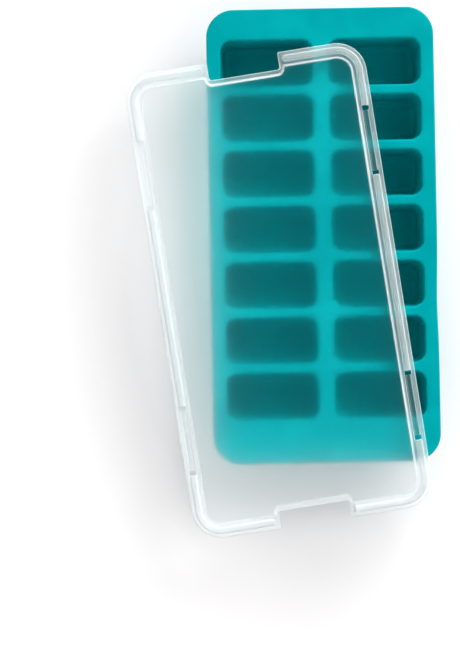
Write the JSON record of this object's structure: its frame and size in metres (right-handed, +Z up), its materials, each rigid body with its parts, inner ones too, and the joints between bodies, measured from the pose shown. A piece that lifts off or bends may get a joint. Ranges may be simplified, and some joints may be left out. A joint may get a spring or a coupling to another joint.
{
  "type": "ice cube tray with lid",
  "caption": "Soft moulded tray of drafted rectangular ice cells in two columns under a broad flange, with a translucent press-on lid lying askew on it.",
  "frame": {"origin": "middle of the tray's length and width, on the plane of the cell bottoms that the tray stands on", "axes": "+Z up out of the cells, +Y along the tray towards the end with the narrower plain margin, +X across the tray"},
  "size_m": [0.1517, 0.2596, 0.038],
  "materials": {
    "tray": "satin moulded silicone",
    "lid": "translucent moulded polypropylene, frosted panel and polished rim"
  },
  "bodies": {
    "tray": {"tray": "tray"},
    "lid": {"lid": "lid"}
  },
  "joints": [
    {"name": "lid_lift", "type": "slide", "parent": "tray", "child": "lid", "axis": [0, 0, 1], "range_m": [0, 0.1]}
  ]
}
